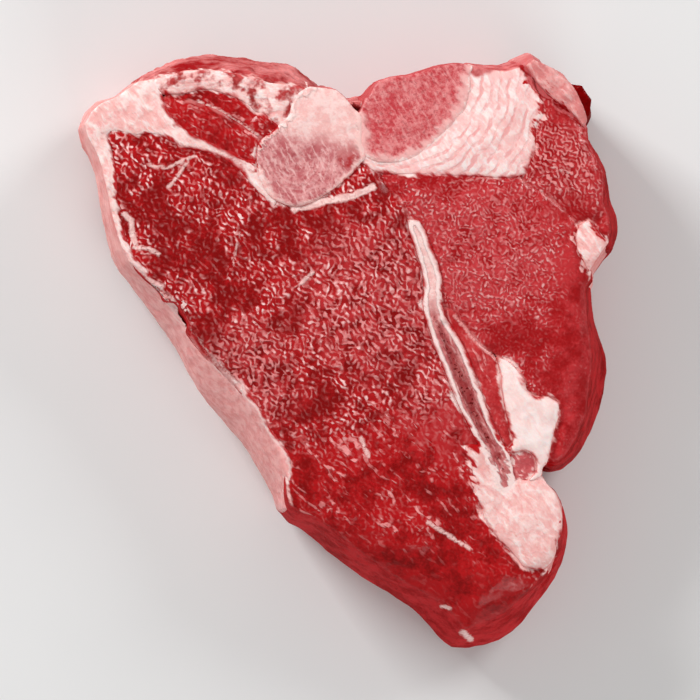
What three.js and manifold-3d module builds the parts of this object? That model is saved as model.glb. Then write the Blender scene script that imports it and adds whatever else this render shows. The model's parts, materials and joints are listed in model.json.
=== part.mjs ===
// A raw lamb loin chop, sawn square across the back and lying on its lower cut face.
// Millimetres, +Z up, origin in the middle of the chop's box on the surface that it rests on.
// +Y points to the backbone, -X to the fat cap, +X to the tenderloin.
//
// The chop is one slice of the animal, so it is made like one: a body with rounded, leaning sides is cut
// by two saw faces, and the muscles, bones and fat are cut out of it along upright seams. Each is a piece
// of its own that runs through the slice, a hair's breadth from its neighbours.
import * as THREE from "three";
import { mergeVertices } from "three/addons/utils/BufferGeometryUtils.js";
import Module from "manifold-3d";

const wasm = await Module();
wasm.setup();

// Driving dimensions
const thickness = 25; // between the two saw faces
const seamGap = 0.3; // between neighbouring pieces
const outlineStep = 2.6; // spacing of the points along the body's outline
const seamStep = 2.0; // spacing of the points along a seam
const roundSides = 16; // sides of a round seam
const rimStep = 1.5; // spacing of the rim's points that the soft shoulder is worked out from
const faceCell = 2.3; // size of the cells of the upper saw face
const seamSlant = new THREE.Vector2(-0.07, -0.05); // sideways run of a seam for each millimetre of depth
const saggingShare = 0.75; // drop of the upper face at the rim, as a share of the shoulder's width
const marrowDepth = 0.7; // drop of a bone's soft core below the upper face
const cutterReach = 6; // how far the cutters pass each saw face
const footInset = 1.3; // how far the lower face's edge stands inside the widest outline
const leanPower = 1.7; // how sharply a side turns in towards the upper face,
const footPower = 2.4; // and towards the lower one
const sideWave = { height: 0.35, length: 17, drift: [9, -14] }; // how the body's side wanders in and out,
const faceWaves = [{ height: 0.3, length: 31 }, { height: 0.14, length: 11 }]; // and the upper face
const risingShares = [0.35, 0.95]; // a piece's own rise fades in between these shares of the thickness
const ampleSize = 200; // side of a box that is wider than the chop
const ampleMargin = 4; // how far the saw's slab passes the outline
const mergeReach = 1e-4; // points closer than this are one
const rimPull = 0.5; // evens out how hard the rim's nearest point pulls on the shoulder there
const leastShoulder = 0.01; // stands for a rim without a soft shoulder

// The chop's outline seen from above, clockwise from the corner of the fat cap. Each row is x, y,
// the lean of the side from its widest level up to the upper face, and the width of the soft shoulder
// where meat sags away from that face.
const outline = [
  [-43.2, 35.5, 0.6, 0], [-40.8, 39.3, 0.6, 0], [-37.2, 40.6, 0.7, 0], [-34.0, 43.7, 1.6, 0],
  [-29.0, 46.3, 2.6, 0], [-19.0, 47.1, 3.0, 0], [-8.5, 45.4, 3.4, 0], [-5.3, 42.7, 1.4, 0],
  [-2.4, 42.3, 1.4, 0], [0.8, 40.2, 2.0, 0], [3.2, 42.8, 0.8, 0], [8.5, 44.0, 0.7, 0],
  [15.0, 46.0, 0.9, 0], [24.5, 46.2, 2.0, 0], [28.4, 47.8, 1.5, 1.5], [31.6, 46.0, 1.5, 2],
  [34.6, 43.3, 0.6, 2], [37.8, 41.9, 0, 2], [38.9, 38.6, 0, 2], [37.7, 35.2, 1.2, 2],
  [40.0, 31.8, 2.2, 4], [41.9, 28.2, 2.6, 5], [42.2, 23.8, 2.6, 5], [43.3, 20.2, 2.2, 5],
  [42.3, 16.2, 1.8, 3], [39.6, 13.2, 1.8, 3], [39.2, 10.5, 2.4, 5], [40.0, 5.0, 3.0, 8],
  [41.9, -1.5, 3.6, 10], [41.0, -8.0, 3.6, 10], [39.4, -13.0, 3.4, 9], [36.0, -18.4, 3.0, 8],
  [33.0, -19.8, 2.2, 6], [30.7, -18.9, 0.8, 2], [29.6, -19.6, 0.5, 0.5], [32.6, -21.5, 1.2, 1],
  [34.8, -26.5, 1.8, 1.5], [35.0, -32.0, 2.6, 3], [32.4, -38.6, 3.8, 9], [27.0, -44.9, 4.4, 14],
  [21.5, -47.5, 4.4, 16], [17.0, -47.8, 3.8, 15], [12.5, -42.8, 3.0, 12], [5.5, -38.0, 2.8, 10],
  [-1.5, -33.5, 2.6, 8], [-7.0, -28.8, 2.2, 6], [-10.8, -26.8, 1.8, 3], [-12.5, -22.5, 2.5, 0],
  [-16.8, -15.6, 4.2, 0], [-24.2, -6.0, 4.8, 0], [-29.5, 2.6, 4.2, 0], [-34.0, 8.8, 2.6, 0],
  [-37.4, 13.5, 1.4, 0], [-39.0, 20.0, 1.0, 0], [-40.8, 29.0, 0.9, 0],
];

// Levels of the body's side: height as a share of the thickness, and the share of the lean (above the
// widest level) or of the foot inset (below it) that the side stands in by. Both ends pass the saw faces.
const widestLevel = 0.4;
const sideLevels = [-0.1, 0, 0.07, 0.16, 0.27, widestLevel, 0.55, 0.7, 0.82, 0.92, 1, 1.12];

const meatRed = 0xa3242c;
const darkMeatRed = 0x8f1a22;
const fatCream = 0xf3c4bd;
const whiteFat = 0xfbe2dc;
const bonePink = 0xd79a98;
const marrowRed = 0xc9666a;
const sinewPink = 0xc0666c;
const flapPink = 0xe08f8f;
const mottledFatPink = 0xe9a9a4;
const budRed = 0xc4555c;

// How each kind of tissue stands on the upper face: how far it drops at its seams and over what width,
// and how far it swells between them.
const tissues = {
  muscle: { edgeDrop: 0.7, edgeWidth: 2.2, swell: 0.9, roughness: 0.35 },
  fat: { edgeDrop: 0.35, edgeWidth: 1.6, swell: 0.5, roughness: 0.5 },
  bone: { edgeDrop: 0.0, edgeWidth: 1.0, swell: 0.0, roughness: 0.6 },
  sinew: { edgeDrop: 0.5, edgeWidth: 1.5, swell: 0.2, roughness: 0.4 },
};
const swellWidth = 9; // distance from a seam at which a piece has its full swell

// The pieces, hardest first: each one is cut out of those after it. An outline may run past the body's
// own, or under an earlier piece. A piece with a floor lies on the one below it, and the rest run through
// the slice. The last piece has no outline, because it is what the others leave.
const pieces = [
  {
    name: "finger_bone", tissue: "bone", colour: bonePink,
    marrow: [
      [13.6, 4.6], [14.6, 0.0], [16.0, -4.6], [18.4, -10.4], [21.6, -16.4], [23.5, -19.8],
      [23.7, -18.4], [21.4, -13.0], [19.3, -8.2], [17.6, -3.4], [16.3, 0.6], [14.8, 4.5],
    ],
    outline: [
      [8.4, 20.6], [9.0, 17.8], [10.6, 13.0], [11.2, 9.5], [11.0, 6.5], [12.0, 2.6], [14.4, -3.6],
      [17.4, -10.8], [21.2, -17.6], [24.3, -23.2], [25.4, -19.2], [22.0, -11.4], [19.6, -5.2],
      [17.4, 0.6], [14.4, 5.8], [13.9, 9.4], [14.0, 11.8], [12.4, 16.0], [10.4, 20.4],
    ],
  },
  {
    name: "arch_bone", tissue: "bone", colour: bonePink,
    outline: [
      [-15.4, 29.2], [-15.2, 32.6], [-12.2, 34.9], [-10.0, 36.6], [-9.2, 39.6], [-6.8, 41.3],
      [-3.0, 41.4], [-0.2, 38.4], [1.2, 36.2], [0.9, 33.4], [1.6, 31.0], [0.6, 28.8], [-1.6, 26.6],
      [-4.2, 24.6], [-7.0, 23.0], [-9.6, 22.5], [-12.0, 23.4], [-13.8, 25.4],
    ],
  },
  {
    name: "vertebra_body", tissue: "bone", colour: marrowRed,
    outline: [
      [0.4, 35.8], [1.6, 39.2], [1.6, 43.5], [6.0, 49.0], [19.5, 50.0], [18.2, 43.6], [18.0, 40.6],
      [16.6, 37.4], [13.2, 33.6], [10.0, 31.0], [6.4, 29.8], [3.0, 30.2], [0.6, 32.4],
    ],
  },
  {
    name: "chine_fat", tissue: "fat", colour: whiteFat,
    outline: [
      [0.8, 31.6], [2.4, 28.8], [6.4, 27.9], [11.0, 27.9], [15.6, 27.8], [20.0, 27.6], [24.0, 27.4],
      [26.8, 27.9], [28.2, 30.6], [28.8, 33.4], [28.7, 36.0], [30.2, 37.2], [29.6, 39.6], [28.4, 42.0],
      [27.0, 45.0], [26.0, 50.0], [17.0, 51.0], [12.0, 40.0], [5.0, 33.0],
    ],
  },
  {
    name: "fascia_flap", tissue: "sinew", colour: flapPink, lift: 0.8, floor: 7,
    outline: [
      [25.4, 46.6], [27.0, 50.0], [29.6, 50.0], [32.6, 44.8], [35.2, 41.0], [36.5, 38.4], [37.6, 34.4],
      [36.4, 35.4], [34.4, 37.6], [32.2, 39.2], [30.4, 40.8], [28.9, 42.4], [27.6, 44.4],
    ],
  },
  {
    name: "edge_scrap", tissue: "muscle", colour: darkMeatRed, lift: -5, floor: 4,
    outline: [[31.6, 44.2], [33.6, 47.0], [38.0, 46.0], [42.0, 40.0], [39.4, 34.8], [36.6, 36.2]],
  },
  {
    name: "back_sinew", tissue: "sinew", colour: sinewPink, lift: -1.6,
    outline: [
      [-34.6, 42.6], [-30.4, 43.2], [-26.4, 44.4], [-20.6, 44.2], [-16.0, 43.1], [-11.0, 42.2],
      [-6.0, 41.8], [-2.4, 41.6], [0.2, 39.0], [1.8, 38.0], [3.4, 43.0], [-2.0, 52.0], [-36.0, 52.0],
      [-40.0, 44.0],
    ],
  },
  {
    name: "fat_cap", tissue: "fat", colour: fatCream,
    outline: [
      [-9.8, -28.5], [-10.2, -21.0], [-10.2, -17.4], [-13.4, -12.6], [-17.0, -6.8], [-21.6, -2.0],
      [-25.2, 2.6], [-29.8, 9.0], [-34.2, 13.4], [-36.6, 18.2], [-37.7, 22.6], [-37.9, 28.4],
      [-39.0, 32.8], [-39.4, 34.7], [-36.6, 34.6], [-34.4, 34.1], [-31.0, 34.4], [-27.4, 32.3],
      [-22.6, 31.2], [-18.6, 29.2], [-15.4, 25.6], [-12.0, 22.5], [-14.4, 26.9], [-18.0, 30.2],
      [-22.8, 32.4], [-27.6, 35.0], [-29.8, 37.6], [-30.8, 40.6], [-32.4, 43.4], [-36.0, 50.0],
      [-52.0, 42.0], [-48.0, 18.0], [-38.0, -4.0], [-24.0, -22.0], [-15.0, -32.0],
    ],
  },
  {
    name: "back_fat", tissue: "fat", colour: mottledFatPink,
    outline: [
      [-32.0, 41.9], [-30.0, 40.6], [-27.0, 40.7], [-23.6, 41.4], [-20.0, 40.5], [-17.4, 39.4],
      [-14.8, 37.4], [-12.8, 36.6], [-11.6, 34.0], [-7.0, 36.0], [-2.0, 44.0], [-20.0, 47.0],
      [-34.0, 45.0],
    ],
  },
  {
    name: "small_back_muscle", tissue: "muscle", colour: darkMeatRed,
    outline: [
      [-29.6, 39.9], [-25.6, 39.3], [-21.0, 37.6], [-17.4, 35.4], [-14.6, 33.4], [-10.0, 33.0],
      [-9.0, 42.0], [-20.0, 44.0], [-31.5, 42.6],
    ],
  },
  {
    name: "back_muscle", tissue: "muscle", colour: darkMeatRed,
    outline: [
      [-31.4, 40.4], [-29.8, 36.6], [-26.0, 32.8], [-19.0, 29.6], [-14.0, 25.0], [-10.0, 28.0],
      [-12.0, 36.0], [-20.0, 41.0], [-28.0, 41.6],
    ],
  },
  {
    name: "flank_bud", tissue: "muscle", colour: budRed,
    round: { x: 26.7, y: -18.3, across: 2.2, along: 2.1 },
  },
  {
    name: "kidney_fat", tissue: "fat", colour: whiteFat, lift: 0.6,
    outline: [
      [22.4, -1.0], [24.8, -1.9], [26.7, -4.4], [27.5, -6.8], [29.0, -7.8], [30.8, -7.6], [32.8, -9.0],
      [32.2, -12.0], [31.2, -16.0], [30.4, -18.6], [29.6, -19.7], [27.0, -20.6], [25.4, -18.4],
      [24.4, -16.0], [25.3, -14.6], [24.4, -11.2], [23.5, -7.0], [23.3, -3.8],
    ],
  },
  {
    name: "flank_fat", tissue: "fat", colour: fatCream, lift: 0.2,
    outline: [
      [17.8, -15.4], [19.3, -20.0], [20.1, -24.8], [22.0, -29.0], [25.4, -32.4], [26.4, -34.0],
      [28.4, -34.8], [30.0, -34.2], [31.0, -36.4], [32.2, -34.6], [32.2, -30.8], [33.0, -27.2],
      [33.6, -24.6], [31.8, -21.8], [30.4, -20.2], [28.4, -19.0], [24.0, -17.0], [20.4, -15.8],
    ],
  },
  {
    name: "side_fat", tissue: "fat", colour: fatCream, lift: 0.9, floor: 11,
    outline: [
      [35.6, 19.6], [37.2, 20.5], [38.8, 18.6], [40.4, 17.0], [45.0, 17.0], [44.0, 12.0], [38.8, 10.0],
      [36.6, 13.8], [35.4, 16.0],
    ],
  },
  {
    name: "side_muscle", tissue: "muscle", colour: meatRed,
    outline: [
      [26.4, 27.4], [28.8, 25.8], [31.6, 24.0], [34.0, 21.8], [36.0, 19.4], [37.4, 14.0], [38.6, 12.4],
      [48.0, 11.0], [50.0, 26.0], [42.0, 40.0], [30.0, 46.0], [26.5, 40.0], [26.5, 32.0],
    ],
  },
  {
    name: "loin_strip", tissue: "muscle", colour: meatRed,
    outline: [
      [14.2, 7.2], [16.6, 5.2], [18.8, 2.0], [21.0, -0.2], [23.6, -1.2], [26.0, -10.0], [26.6, -17.0],
      [23.4, -19.4], [18.0, -8.0], [14.0, 2.0],
    ],
  },
  {
    name: "tenderloin", tissue: "muscle", colour: meatRed,
    outline: [
      [4.6, 31.0], [4.9, 26.2], [7.2, 24.4], [8.8, 21.4], [10.4, 17.0], [12.6, 10.0], [14.2, 4.0],
      [20.0, -3.0], [26.0, -12.0], [30.2, -19.2], [32.0, -24.0], [46.0, -20.0], [52.0, 0.0],
      [48.0, 24.0], [38.0, 34.0], [20.0, 34.0],
    ],
  },
  { name: "loin_eye", tissue: "muscle", colour: meatRed },
];

// A slow, repeatable unevenness, about -1 to 1: two crossing waves, each bent by a slower one.
function unevenness(x, y, length) {
  const k = (2 * Math.PI) / length;
  const alongX = Math.sin(k * x + 1.3 * Math.sin(0.7 * k * y));
  const alongY = Math.sin(0.83 * k * y + 1.7 * Math.sin(0.6 * k * x) + 2.1);
  return (alongX + alongY) / 2;
}

// Points at an even spacing along a smooth closed curve through the rows given.
function closedCurve(rows, spacing) {
  const curve = new THREE.CatmullRomCurve3(
    rows.map(([x, y, third = 0]) => new THREE.Vector3(x, y, third)),
    true,
    "centripetal",
  );
  const flat = new THREE.CatmullRomCurve3(
    rows.map(([x, y]) => new THREE.Vector3(x, y, 0)),
    true,
    "centripetal",
  );
  const count = Math.round(flat.getLength() / spacing);
  return curve.getSpacedPoints(count).slice(0, count);
}

// The unit vector square to a closed line at each of its points, to its left.
function leftOf(points) {
  return points.map((p, i) => {
    const before = points.at(i - 1);
    const after = points[(i + 1) % points.length];
    return new THREE.Vector2(before.y - after.y, after.x - before.x).normalize();
  });
}

// A closed line moved square to itself: outwards for a distance above zero.
function grown(points, distance) {
  const outwards = THREE.ShapeUtils.area(points) > 0 ? -1 : 1;
  const normals = leftOf(points);
  return points.map((p, i) => new THREE.Vector2(p.x, p.y).addScaledVector(normals[i], outwards * distance));
}

// Distance from a point to the nearest segment of a closed line.
function distanceTo(points, x, y) {
  let nearest = Infinity;
  points.forEach((a, i) => {
    const b = points[(i + 1) % points.length];
    const dx = b.x - a.x;
    const dy = b.y - a.y;
    const t = THREE.MathUtils.clamp(((x - a.x) * dx + (y - a.y) * dy) / (dx * dx + dy * dy), 0, 1);
    nearest = Math.min(nearest, Math.hypot(x - a.x - t * dx, y - a.y - t * dy));
  });
  return nearest;
}

// A three.js geometry as a manifold-3d solid, and a solid's triangles as a geometry.
function solidOf(geometry) {
  const bare = new THREE.BufferGeometry().setAttribute("position", geometry.getAttribute("position"));
  const merged = mergeVertices(bare.setIndex(geometry.index), mergeReach);
  return new wasm.Manifold(
    new wasm.Mesh({
      numProp: 3,
      vertProperties: merged.attributes.position.array,
      triVerts: new Uint32Array(merged.index.array),
    }),
  );
}

function geometryOf(solid) {
  const mesh = solid.getMesh();
  const geometry = new THREE.BufferGeometry();
  geometry.setAttribute("position", new THREE.BufferAttribute(mesh.vertProperties, 3));
  geometry.setIndex(new THREE.BufferAttribute(mesh.triVerts, 1));
  return geometry;
}

// The body before it is sawn: rings of the outline, one for each level of the side, with closed ends.
function unsawnBody() {
  const ring = closedCurve(outline, outlineStep);
  const inwards = leftOf(ring).map((n) => n.negate());
  const positions = [];
  for (const level of sideLevels) {
    const above = level > widestLevel;
    const share = above
      ? Math.pow((level - widestLevel) / (1 - widestLevel), leanPower)
      : Math.pow((widestLevel - level) / widestLevel, footPower);
    ring.forEach((p, i) => {
      const [driftX, driftY] = sideWave.drift.map((whole) => whole * level);
      const wave = sideWave.height * unevenness(p.x + driftX, p.y + driftY, sideWave.length);
      const inset = (above ? p.z : footInset) * share + wave;
      positions.push(p.x + inwards[i].x * inset, p.y + inwards[i].y * inset, level * thickness);
    });
  }
  const index = [];
  const size = ring.length;
  for (let level = 0; level < sideLevels.length - 1; level++) {
    for (let i = 0; i < size; i++) {
      const a = level * size + i;
      const b = level * size + ((i + 1) % size);
      index.push(a, a + size, b, b, a + size, b + size);
    }
  }
  const lid = THREE.ShapeUtils.triangulateShape(ring.map((p) => new THREE.Vector2(p.x, p.y)), []);
  const top = (sideLevels.length - 1) * size;
  for (const [a, b, c] of lid) {
    index.push(c, b, a);
    index.push(top + a, top + b, top + c);
  }
  const geometry = new THREE.BufferGeometry();
  geometry.setAttribute("position", new THREE.Float32BufferAttribute(positions, 3));
  geometry.setIndex(index);
  return solidOf(geometry);
}

// What the saw leaves between its two cuts: flat below and slightly uneven above.
function sawnSlab() {
  const box = new THREE.Box2().setFromPoints(outline.map(([x, y]) => new THREE.Vector2(x, y)));
  const size = box.getSize(new THREE.Vector2()).addScalar(2 * ampleMargin);
  const middle = box.getCenter(new THREE.Vector2());
  const cells = [Math.round(size.x / faceCell), Math.round(size.y / faceCell)];
  const slab = new THREE.BoxGeometry(size.x, size.y, thickness, ...cells, 1);
  slab.translate(middle.x, middle.y, thickness / 2);
  const position = slab.getAttribute("position");
  for (let i = 0; i < position.count; i++) {
    const x = position.getX(i);
    const y = position.getY(i);
    const upper = position.getZ(i) > thickness / 2;
    const [slow, quick] = faceWaves;
    const wave = slow.height * unevenness(x, y, slow.length) + quick.height * unevenness(y, x, quick.length);
    position.setZ(i, upper ? thickness + wave : -thickness / 2);
  }
  const aboveRest = new THREE.BoxGeometry(ampleSize, ampleSize, 2 * thickness).translate(0, 0, thickness);
  return solidOf(slab).intersect(solidOf(aboveRest));
}

// An upright cutter over a closed line, leaning along the seams' slant. It passes the upper saw face,
// and goes down to the floor given or past the lower face.
function cutter(points, floor = -cutterReach) {
  const shape = new THREE.Shape(points.map((p) => new THREE.Vector2(p.x, p.y)));
  const depth = thickness + cutterReach - floor;
  const prism = new THREE.ExtrudeGeometry(shape, { depth, bevelEnabled: false });
  prism.translate(0, 0, floor);
  const slant = new THREE.Matrix4().makeShear(0, 0, 0, 0, -seamSlant.x, -seamSlant.y);
  const elements = slant.elements;
  elements[12] = seamSlant.x * thickness; // the lines are where the seams meet the upper face
  elements[13] = seamSlant.y * thickness;
  return solidOf(prism.applyMatrix4(slant));
}

// The line that a piece is cut along, or null for the one that is left over.
function seamOf(piece) {
  if (piece.round) {
    const { x, y, across, along } = piece.round;
    return new THREE.EllipseCurve(x, y, across, along).getSpacedPoints(roundSides).slice(0, roundSides);
  }
  return piece.outline ? closedCurve(piece.outline, seamStep) : null;
}

// The softer core of a bone stands a little below the saw face, inside a hard rim.
function marrowCut(core) {
  const above = new THREE.BoxGeometry(ampleSize, ampleSize, thickness);
  above.translate(0, 0, 1.5 * thickness - marrowDepth);
  return cutter(closedCurve(core, seamStep)).intersect(solidOf(above));
}

// How far the meat sags at a place near the rim, where the shoulder is soft.
function sagAt(rim, x, y) {
  let sum = 0;
  let weight = 0;
  let nearest = Infinity;
  for (const p of rim) {
    const distance = Math.hypot(p.x - x, p.y - y);
    const share = 1 / (distance * distance * distance + rimPull);
    sum += share * p.z;
    weight += share;
    nearest = Math.min(nearest, distance);
  }
  const shoulder = sum / weight;
  const into = THREE.MathUtils.clamp(1 - nearest / (shoulder + leastShoulder), 0, 1);
  return shoulder * saggingShare * into * into;
}

// Moves a piece's upper face along its seams: down beside them, up between them, and by its own lift.
function settle(geometry, piece, seams) {
  const { edgeDrop, edgeWidth, swell } = tissues[piece.tissue];
  const position = geometry.getAttribute("position");
  for (let i = 0; i < position.count; i++) {
    const z = position.getZ(i);
    const height = THREE.MathUtils.smoothstep(z / thickness, ...risingShares);
    const x = position.getX(i) - seamSlant.x * (thickness - z);
    const y = position.getY(i) - seamSlant.y * (thickness - z);
    const distance = Math.min(...seams.map((seam) => distanceTo(seam, x, y)));
    const edge = 1 - THREE.MathUtils.smoothstep(distance, 0, edgeWidth);
    const inner = THREE.MathUtils.smoothstep(distance, 0, swellWidth);
    const sag = sagAt(rim, x, y);
    const sagHeight = THREE.MathUtils.smoothstep(z, 0, thickness);
    const rise = height * ((piece.lift ?? 0) + swell * inner - edgeDrop * edge) - sagHeight * sag;
    position.setX(i, position.getX(i) - seamSlant.x * rise);
    position.setY(i, position.getY(i) - seamSlant.y * rise);
    position.setZ(i, z + rise);
  }
  return geometry;
}

const lambChop = new THREE.Group();
lambChop.name = "lamb_loin_chop";
const slice = unsawnBody().intersect(sawnSlab());
const rim = closedCurve(outline.map(([x, y, , shoulder]) => [x, y, shoulder]), rimStep);
const seams = [];
let taken = null;
for (const piece of pieces) {
  const seam = seamOf(piece);
  let solid = seam ? slice.intersect(cutter(seam, piece.floor)) : slice;
  if (taken) solid = solid.subtract(taken);
  if (piece.marrow) solid = solid.subtract(marrowCut(piece.marrow));
  const whole = solid.decompose().sort((a, b) => b.volume() - a.volume())[0];
  if (seam) {
    seams.push(seam);
    const room = cutter(grown(seam, seamGap), piece.floor && piece.floor - seamGap);
    taken = taken ? taken.add(room) : room;
  }
  const material = new THREE.MeshStandardMaterial({
    color: piece.colour,
    roughness: tissues[piece.tissue].roughness,
    metalness: 0,
  });
  const mesh = new THREE.Mesh(settle(geometryOf(whole), piece, seams), material);
  mesh.geometry.computeVertexNormals();
  mesh.name = piece.name;
  lambChop.add(mesh);
}

const middle = new THREE.Box3().setFromObject(lambChop).getCenter(new THREE.Vector3());
lambChop.position.set(-middle.x, -middle.y, 0);

export default lambChop;
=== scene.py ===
import bpy
import json
import math
import numpy as np
from mathutils import Matrix, Vector
from mathutils.bvhtree import BVHTree

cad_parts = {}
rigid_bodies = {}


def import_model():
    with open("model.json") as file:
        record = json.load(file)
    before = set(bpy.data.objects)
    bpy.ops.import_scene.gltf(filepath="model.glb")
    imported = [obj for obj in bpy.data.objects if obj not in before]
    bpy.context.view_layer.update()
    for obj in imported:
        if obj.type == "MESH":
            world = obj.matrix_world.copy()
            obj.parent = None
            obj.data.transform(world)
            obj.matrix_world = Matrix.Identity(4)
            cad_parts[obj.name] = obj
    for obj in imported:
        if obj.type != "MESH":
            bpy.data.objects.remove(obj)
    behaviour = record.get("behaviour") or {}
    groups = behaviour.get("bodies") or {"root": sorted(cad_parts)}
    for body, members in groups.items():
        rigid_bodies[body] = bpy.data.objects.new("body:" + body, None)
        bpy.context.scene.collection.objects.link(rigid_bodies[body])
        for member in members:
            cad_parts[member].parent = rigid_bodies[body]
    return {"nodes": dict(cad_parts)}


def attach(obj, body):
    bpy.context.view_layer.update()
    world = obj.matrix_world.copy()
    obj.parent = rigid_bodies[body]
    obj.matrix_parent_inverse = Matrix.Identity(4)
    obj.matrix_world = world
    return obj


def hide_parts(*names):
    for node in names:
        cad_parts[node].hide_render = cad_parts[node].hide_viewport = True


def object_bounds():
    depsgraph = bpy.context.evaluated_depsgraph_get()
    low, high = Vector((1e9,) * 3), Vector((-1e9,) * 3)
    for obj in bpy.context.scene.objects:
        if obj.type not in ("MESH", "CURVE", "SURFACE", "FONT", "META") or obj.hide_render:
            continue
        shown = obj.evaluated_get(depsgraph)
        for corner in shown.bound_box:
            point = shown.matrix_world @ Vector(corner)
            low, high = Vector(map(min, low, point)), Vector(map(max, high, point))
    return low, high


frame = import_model()
cadLow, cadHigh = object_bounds()
mm = 0.001
print("frame loaded:", len(frame["nodes"]), "nodes")

muscleNodes = ["loin_eye", "tenderloin", "side_muscle", "loin_strip", "back_muscle", "small_back_muscle",
               "flank_bud", "edge_scrap"]
fatNodes = ["fat_cap", "back_fat", "chine_fat", "kidney_fat", "flank_fat", "side_fat"]
boneNodes = ["arch_bone", "vertebra_body", "finger_bone"]
sinewNodes = ["back_sinew", "fascia_flap"]
# how a piece feels the tissue next to it, in mm: how far, from how far inside the slice under a sawn face,
# and how deep inside that tissue at most; straight is how squarely a point lies behind its surface there
felt = {"reach": 6, "depth": 1.5, "inside": 1.5, "straight": 0.9}
# mm: between the CAD's pieces, how near a neighbour is at a seam, how far a piece is widened over those it
# lies on and over others, how far down its lip is laid, how deep that lip is felt and how quickly it falls,
# and how much higher each underside ends than the one before
seam = {"gap": 0.3, "near": 0.6, "over": 1.05, "under": 0.45, "drop": 3, "deepest": 1.5, "fall": 0.3,
        "level": 0.012}
leastLean = 0.3  # how far a normal points sideways at least at a wall's edge, and up on a shoulder
merged = 0.001  # mm, points nearer than this are one
evened = {"factor": 0.5, "iterations": 2}
swells = [(6, 0.5), (2, 0.18)]  # mm: sizes and heights of the lumps that all the pieces share


def pickOnly(piece):
    bpy.ops.object.select_all(action="DESELECT")
    piece.select_set(True)
    bpy.context.view_layer.objects.active = piece


def applyModifier(piece, kind, settings):
    pickOnly(piece)
    modifier = piece.modifiers.new(kind.title(), kind)
    for name, value in settings.items():
        setattr(modifier, name, value)
    bpy.ops.object.modifier_apply(modifier=modifier.name)


def lumpPattern(name, size):
    pattern = bpy.data.textures.new(name, "CLOUDS")
    pattern.noise_scale = size * mm
    return pattern


def pointsOf(piece, what="co"):
    values = np.empty(len(piece.data.vertices) * 3)
    piece.data.vertices.foreach_get(what, values)
    return values.reshape(-1, 3)


def treeOf(names):
    points, faces = [], []
    for name in names:
        mesh = frame["nodes"][name].data
        start = len(points)
        points += [vertex.co.copy() for vertex in mesh.vertices]
        faces += [[start + corner for corner in face.vertices] for face in mesh.polygons]
    return BVHTree.FromPolygons(points, faces)


# distance in mm from every point of a piece to the nearest of some CAD nodes, at most reach and below 0
# inside them; a sawn face is felt from a little inside the slice
def gapTo(piece, names):
    if not names:
        return np.full(len(piece.data.vertices), float(felt["reach"]))
    tree = treeOf(names)
    gaps = []
    for point in pointsOf(piece) - pointsOf(piece, "normal") * (0, 0, felt["depth"] * mm):
        point = Vector(point)
        spot, normal, _, gap = tree.find_nearest(point, felt["reach"] * mm)
        if spot is None:
            gaps.append(felt["reach"])
        elif (point - spot).dot(normal) < -felt["straight"] * gap and gap < felt["inside"] * mm:
            gaps.append(-gap / mm)
        else:
            gaps.append(gap / mm)
    return np.array(gaps)


# distance in mm, seen from above, from every point of a piece to the edge of the nearest of some streaks
def gapToStreaks(piece, streaks):
    place = pointsOf(piece)[:, :2] / mm
    nearest = np.full(len(place), float(felt["reach"]))
    for streak in streaks:
        for start, end in zip(streak["line"], streak["line"][1:]):
            start, way = np.array(start), np.array(end) - np.array(start)
            share = np.clip((place - start) @ way / (way @ way), 0, 1)
            gap = np.linalg.norm(place - start - share[:, None] * way, axis=1) - streak["half"]
            nearest = np.minimum(nearest, gap)
    return nearest


def addField(piece, name, values):
    field = piece.data.attributes.new(name, "FLOAT", "POINT")
    field.data.foreach_set("value", np.asarray(values, dtype=np.float32))


# the piece widened across its seams, so that its rounded edges end up inside its neighbours
def closeSeams(piece, names, overlap):
    if not names:
        return
    tree = treeOf(names)
    points = []
    for point, normal in zip(pointsOf(piece), pointsOf(piece, "normal")):
        spot = tree.find_nearest(Vector(point), seam["near"] * mm)[0]
        if spot and math.hypot(*normal[:2]) > leastLean:
            point = point + Vector((*(spot - Vector(point)).xy, 0)).normalized() * overlap * mm
        points.append(point)
    piece.data.vertices.foreach_set("co", np.array(points).ravel())


# the crumbs that the remesh leaves beside a piece are deleted; its middle vertex is in the piece itself
def dropCrumbs(piece):
    pickOnly(piece)
    bpy.ops.object.mode_set(mode="EDIT")
    bpy.ops.mesh.select_mode(type="VERT")
    bpy.ops.mesh.select_all(action="DESELECT")
    bpy.ops.object.mode_set(mode="OBJECT")
    piece.data.vertices[len(piece.data.vertices) // 2].select = True
    bpy.ops.object.mode_set(mode="EDIT")
    bpy.ops.mesh.select_linked()
    bpy.ops.mesh.select_all(action="INVERT")
    bpy.ops.mesh.delete(type="VERT")
    bpy.ops.object.mode_set(mode="OBJECT")


# the lip laid down on the neighbours that it runs over, where their upper face falls away under it
def layLip(piece, node, names):
    if not names:
        return
    own, others, down = treeOf([node]), treeOf(names), Vector((0, 0, -1))
    points = pointsOf(piece)
    for point in points:
        above = Vector((*point[:2], 1))
        spot, upward = others.ray_cast(above, down)[:2]
        ownSpot = own.ray_cast(above, down)[0]
        if not spot or upward.z < leastLean or (ownSpot and ownSpot.z > spot.z):
            continue
        if 0 < point[2] - spot.z < seam["drop"] * mm:
            point[2] = spot.z
    piece.data.vertices.foreach_set("co", points.ravel())


# the lip that runs over a neighbour falls away, so that it ends without a step
def lowerLip(piece, names):
    deep = np.clip(-gapTo(piece, names), 0, seam["deepest"])
    points, normals = pointsOf(piece), pointsOf(piece, "normal")
    points[:, 2] -= normals[:, 2] * seam["fall"] * deep ** 2 * mm
    piece.data.vertices.foreach_set("co", points.ravel())


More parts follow.
